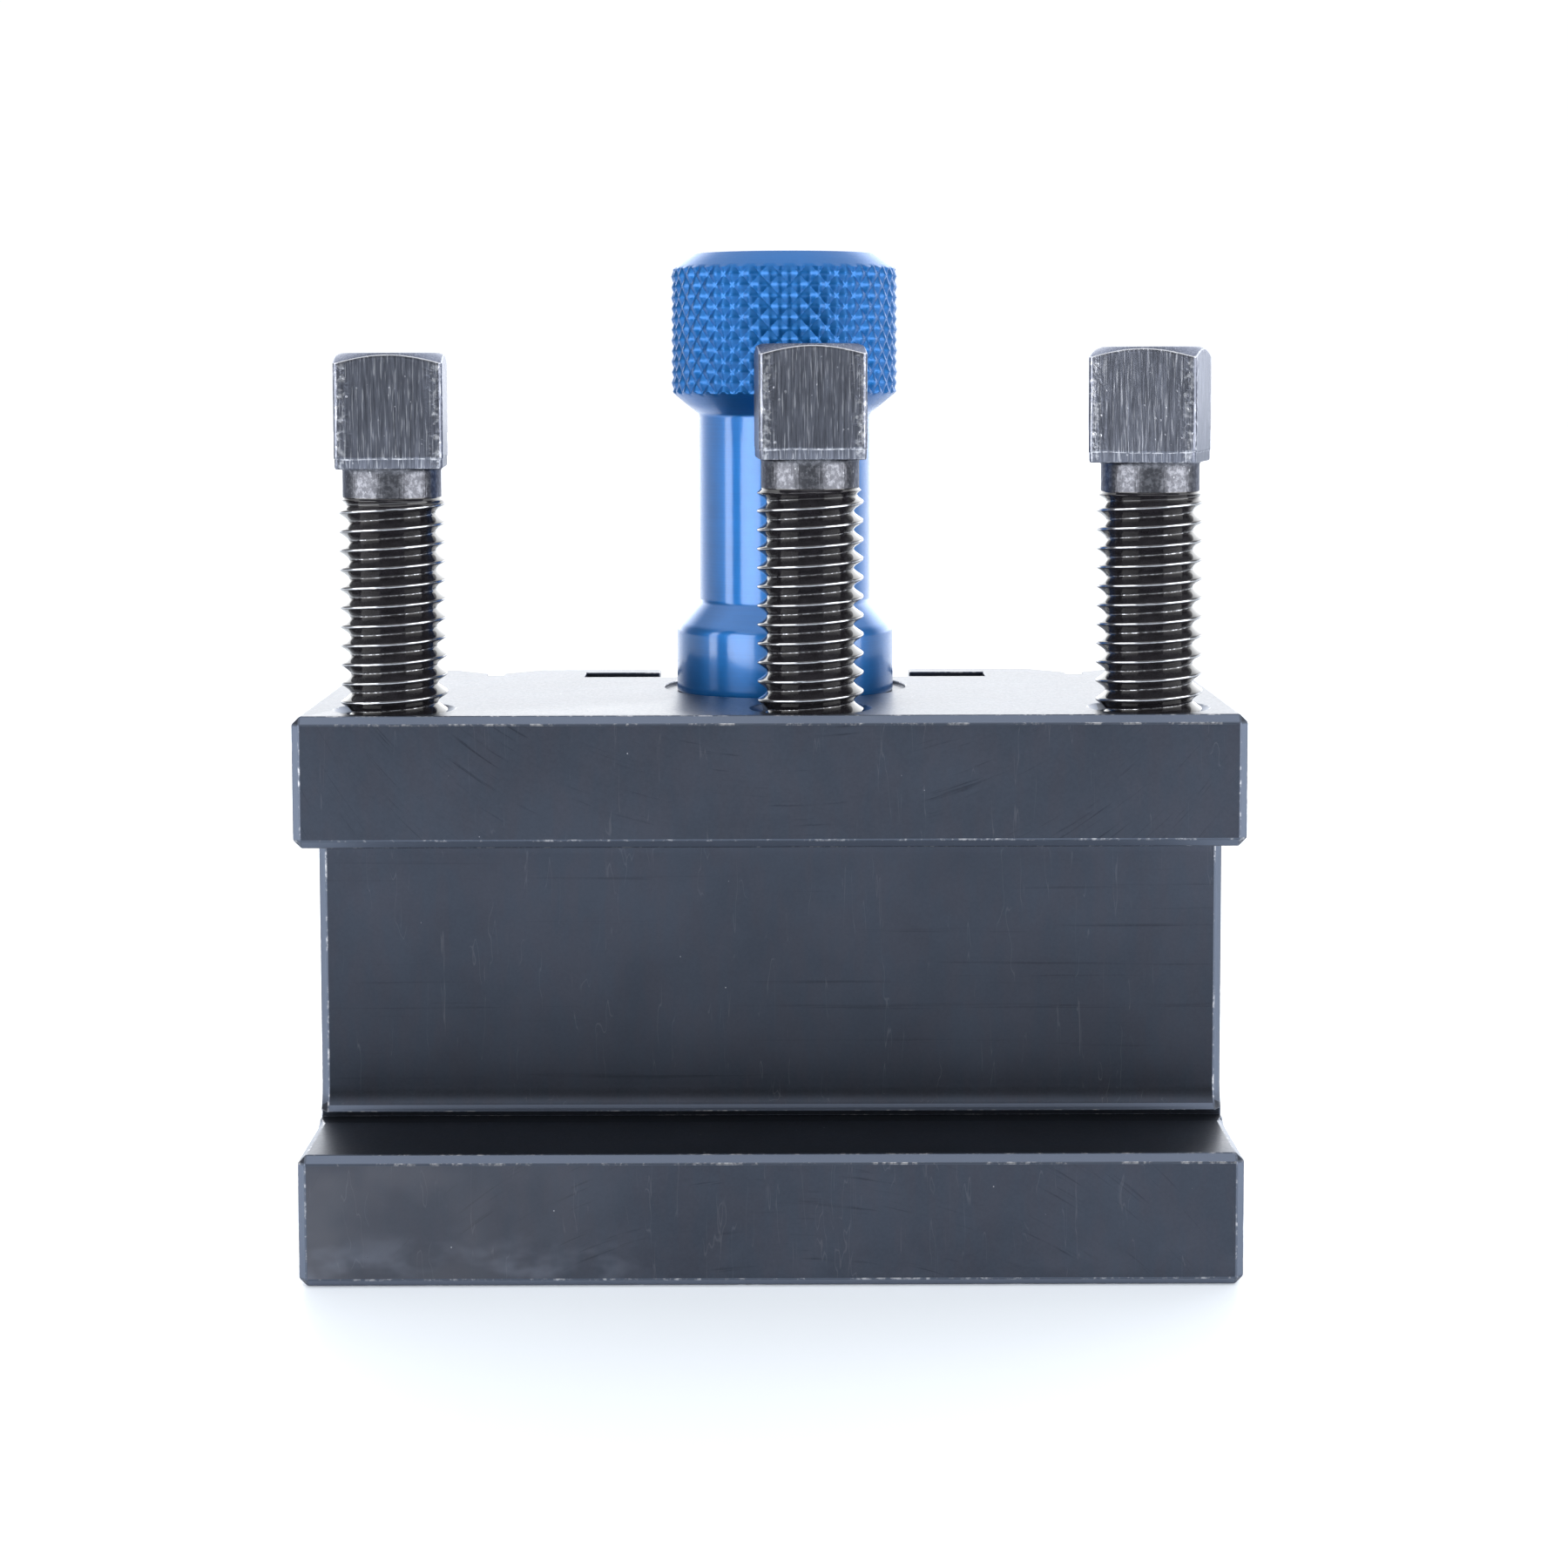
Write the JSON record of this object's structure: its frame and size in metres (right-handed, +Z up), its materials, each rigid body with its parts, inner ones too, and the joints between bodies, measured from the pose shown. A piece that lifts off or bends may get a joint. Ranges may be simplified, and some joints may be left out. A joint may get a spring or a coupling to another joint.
{
  "type": "turning tool holder",
  "caption": "Quick-change turning tool holder: C-shaped steel block with an open tool slot, square-head clamp screws, a T-slot and V-groove rear, and a knurled height nut.",
  "frame": {"origin": "middle of the block's underside", "axes": "+X along the holder, +Y from the tool slot to the ways on the rear, +Z up along the screws"},
  "size_m": [0.07, 0.035, 0.0768],
  "materials": {
    "block_steel": "black oxide, satin, with milled faces",
    "screw_steel": "black oxide, worn bright on edges and crests",
    "stud_steel": "plain turned",
    "nut_aluminium": "blue anodised, knurled grip"
  },
  "bodies": {
    "holder": {"holder_body": "block_steel", "height_stud": "stud_steel"},
    "left_screw": {"clamp_screw_left": "screw_steel"},
    "middle_screw": {"clamp_screw_middle": "screw_steel"},
    "right_screw": {"clamp_screw_right": "screw_steel"},
    "nut": {"height_nut": "nut_aluminium"}
  },
  "joints": [
    {"name": "left_screw_travel", "type": "slide", "parent": "holder", "child": "left_screw", "axis": [0, 0, 1], "range_m": [-0.0176, 0.004]},
    {"name": "middle_screw_travel", "type": "slide", "parent": "holder", "child": "middle_screw", "axis": [0, 0, 1], "range_m": [-0.0182, 0.004]},
    {"name": "right_screw_travel", "type": "slide", "parent": "holder", "child": "right_screw", "axis": [0, 0, 1], "range_m": [-0.0179, 0.004]},
    {"name": "height_nut_travel", "type": "slide", "parent": "holder", "child": "nut", "axis": [0, 0, 1], "range_m": [0, 0.015]}
  ]
}
